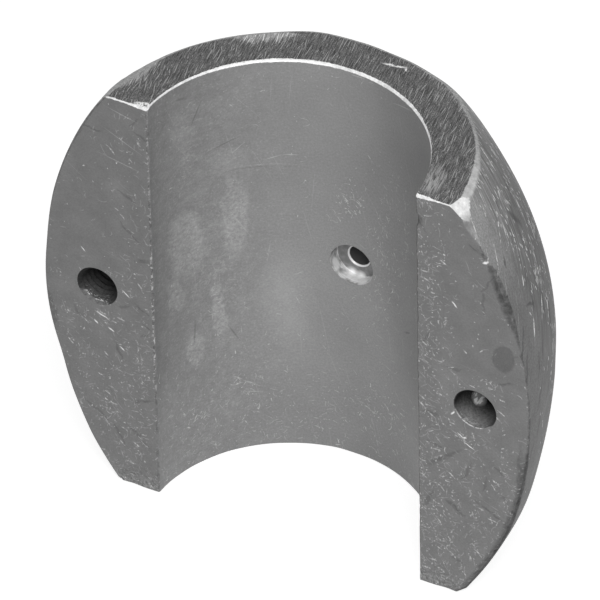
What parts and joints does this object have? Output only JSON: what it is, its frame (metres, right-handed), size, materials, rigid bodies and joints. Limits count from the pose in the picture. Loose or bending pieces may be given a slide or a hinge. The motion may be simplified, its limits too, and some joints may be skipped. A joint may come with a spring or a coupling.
{
  "type": "shaft anode half",
  "caption": "Half of a barrel-shaped zinc collar anode, clamped round a propeller shaft against corrosion, with a plain and a tapped screw hole in its split face.",
  "frame": {"origin": "on the shaft axis, halfway along the collar's length", "axes": "+Z along the shaft axis towards the end face whose rim is dressed at one corner; -Y out of the split face; +X across the split towards the plain screw hole"},
  "size_m": [0.101, 0.0498, 0.092],
  "materials": {
    "zinc": "dull grey cast zinc with fine bright nicks, a smoother bore and a filed end face"
  },
  "bodies": {
    "root": {"anode_half": "zinc"}
  },
  "joints": []
}
